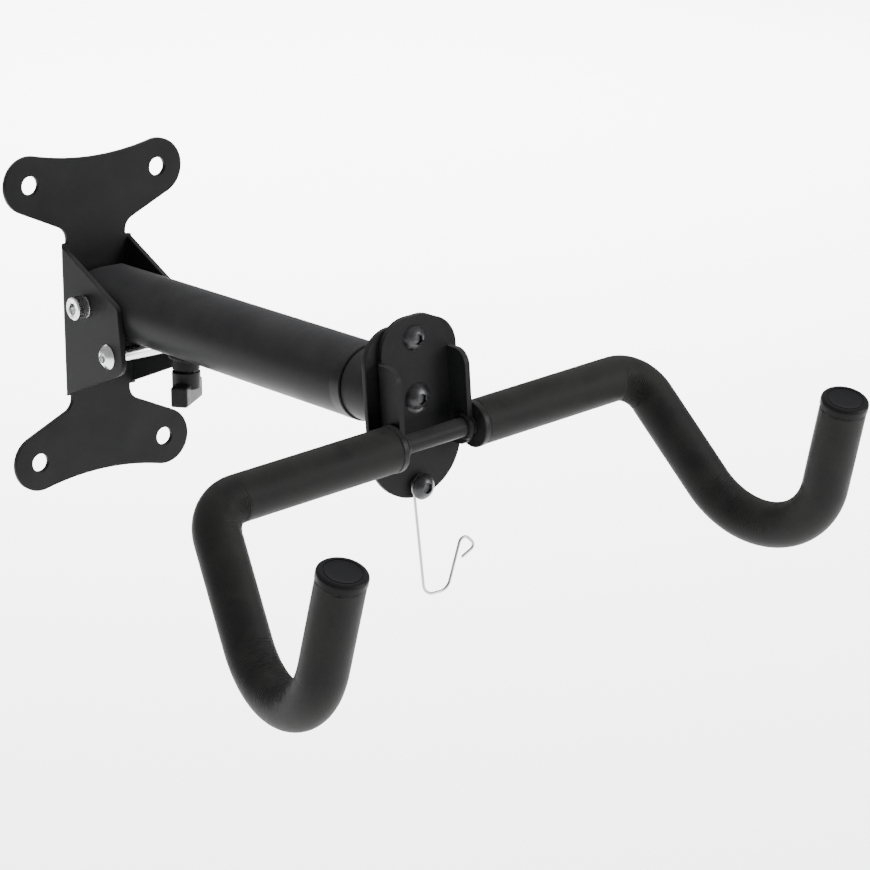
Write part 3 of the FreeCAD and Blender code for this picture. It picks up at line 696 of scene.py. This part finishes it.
def coated(name, mesh, body):
    """A coated piece that adds to the frame and stands for no CAD node."""
    obj = new_object(name, mesh)
    obj.data.materials.append(FINISHES["black_powder_coat"])
    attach(obj, body)


def bar_welds():
    """Beads round the cross bar on the inner face of both ears."""
    beads = []
    axis = rolled((1, 0, ARM_AXIS.z)) - rolled((0, 0, ARM_AXIS.z))
    for side in (-1, 1):
        centre = rolled((side * EAR_FACE, BAR_Y, ARM_AXIS.z - BAR_DROP))
        line = circle_line(centre, BAR_R + 0.5 * MM, axis)
        beads.append(weld("bar weld", line, 1.3 * MM, 5))
    stands_for(new_object("bar_weld_beads", joined("bar_weld_beads", beads)), "bar_welds", "head")


def plate_weld():
    """Bead round the swivel tube, behind the head plate."""
    back = Vector(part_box("head_plate")[1]).y
    line = circle_line((0, back + 0.4 * MM, ARM_AXIS.z), NECK_R + 0.5 * MM, (0, 1, 0))
    coated("plate_weld_bead", weld("plate_weld_bead", line, 1.9 * MM, 44), "head")


def boss_weld():
    """Bead round the clamp boss where it meets the arm tube."""
    place = middle("clamp_boss")
    low, high = (Vector(corner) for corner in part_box("arm_tube"))
    tube_r, reach = (high.x - low.x) / 2, BOSS_R + 0.4 * MM

    def point_at(share):
        turn = 2 * math.pi * share
        x, y = reach * math.cos(turn), reach * math.sin(turn)
        return Vector((x, place.y + y, ARM_AXIS.z - math.sqrt(tube_r**2 - x**2) - 0.2 * MM))

    coated("boss_weld_bead", weld("boss_weld_bead", point_at, 1.3 * MM, 17), "arm")


bar_welds()
plate_weld()
boss_weld()

# ---------------------------------------------------------------- wire catch

CATCH_LINE = ((0.0, -57.9), (15.0, -57.9), (24.5, -29.5), (33.8, -38.0), (24.5, -42.7))
CATCH_LINE_RADII = (6.5, 6.5, 3.5, 2.5, 0.0)
CATCH_LEAN = 1.2 * MM
EYE_GAP = 0.35 * MM


def wire_catch():
    """Bright wire: nearly two turns round the screw's shoulder, a drop, a foot and a curl."""
    hub = middle("catch_bolt")
    low, high = (Vector(corner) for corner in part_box("wire_catch"))
    hub.y = (low.y + high.y) / 2
    eye_r = CATCH_SHOULDER_R + EYE_GAP + WIRE_R
    points, radii = [], []
    turns, steps = 1.75, 84
    leave = math.radians(200)
    for k in range(steps + 1):
        share = k / steps
        turn = leave - 2 * math.pi * turns * (1 - share)
        depth = hub.y + (0.5 - share) * 1.5 * MM
        points.append(Vector((hub.x + eye_r * math.cos(turn), depth, hub.z + eye_r * math.sin(turn))))
        radii.append(0.0)
    for (x, z), radius in zip(CATCH_LINE, CATCH_LINE_RADII):
        points.append(Vector((hub.x + x * MM + CATCH_LEAN, points[-1].y, hub.z + z * MM)))
        radii.append(radius * MM)
    wire = swept_rod("wire_catch_bent", points, radii, WIRE_R, Step=0.35 * MM, Sides=20,
                     Finish=FINISHES["bright_wire"], **{"End Round": 0.3 * MM})
    stands_for(wire, "wire_catch", "catch")


wire_catch()

# ---------------------------------------------------------------- coated steel

softened("wall_plate", "wall", 0.45 * MM, clamped=False)
softened("head_plate", "head", 0.45 * MM, clamped=False)
softened("clamp_handle", "handle", 0.3 * MM, clamped=False)
softened("hook_bracket", "head", 0.35 * MM, clamped=True)

for node, obj in NODES.items():
    obj.data.materials.clear()
    obj.data.materials.append(FINISHES[SLOT_OF[node]])

# ---------------------------------------------------------------- stage, light and camera

CAMERA_PLACE = Vector((-0.9504, -1.4600, 0.4344))
CAMERA_YAW = math.radians(39.33)
CAMERA_PITCH = math.radians(16.29)
CAMERA_ROLL = math.radians(-0.13)
CAMERA_LENS = 131.35
FLOOR_Z = -0.42
WORLD_STRENGTH = 0.5


def studio():
    world = bpy.data.worlds.new("studio")
    world.use_nodes = True
    world.node_tree.nodes["Background"].inputs["Color"].default_value = (1, 1, 1, 1)
    world.node_tree.nodes["Background"].inputs["Strength"].default_value = WORLD_STRENGTH
    bpy.context.scene.world = world
    mesh = bpy.data.meshes.new("floor")
    half = 12.0
    corners = [(-half, -half), (half, -half), (half, half), (-half, half)]
    mesh.from_pydata([(x, y, FLOOR_Z) for x, y in corners], [], [(0, 1, 2, 3)])
    floor = new_object("floor", mesh)
    pale = bpy.data.materials.new("pale floor")
    pale.use_nodes = True
    surface = pale.node_tree.nodes["Principled BSDF"]
    surface.inputs["Base Color"].default_value = (0.93, 0.93, 0.93, 1)
    surface.inputs["Roughness"].default_value = 1.0
    surface.inputs["Specular IOR Level"].default_value = 0.0
    mesh.materials.append(pale)


def softbox(name, place, aim, size, power, mirrored=True):
    lamp = bpy.data.lights.new(name, "AREA")
    lamp.shape = "RECTANGLE"
    lamp.size, lamp.size_y = size
    lamp.energy = power
    obj = bpy.data.objects.new(name, lamp)
    obj.location = place
    obj.rotation_euler = (Vector(aim) - Vector(place)).to_track_quat("-Z", "Y").to_euler()
    obj.visible_glossy = mirrored
    bpy.context.scene.collection.objects.link(obj)


def camera():
    lens = bpy.data.cameras.new("camera")
    lens.lens = CAMERA_LENS
    lens.sensor_width = 36
    obj = bpy.data.objects.new("camera", lens)
    forward = Vector((math.sin(CAMERA_YAW) * math.cos(CAMERA_PITCH),
                      math.cos(CAMERA_YAW) * math.cos(CAMERA_PITCH), -math.sin(CAMERA_PITCH)))
    turn = forward.to_track_quat("-Z", "Y").to_matrix() @ Matrix.Rotation(CAMERA_ROLL, 3, "Z")
    obj.matrix_world = Matrix.Translation(CAMERA_PLACE) @ turn.to_4x4()
    bpy.context.scene.collection.objects.link(obj)
    bpy.context.scene.camera = obj


studio()
softbox("back softbox", (2.1, 2.6, 1.3), (2.1, 2.6001, FLOOR_Z), (3.8, 3.8), 600, mirrored=False)
softbox("near softbox", (0.1, 0.3, 3.2), (0.3, 0.5, FLOOR_Z), (0.8, 0.8), 335, mirrored=False)
softbox("front softbox", (1.6, -2.2, 0.7), (0, -0.2, 0), (1.6, 1.2), 80)
camera()
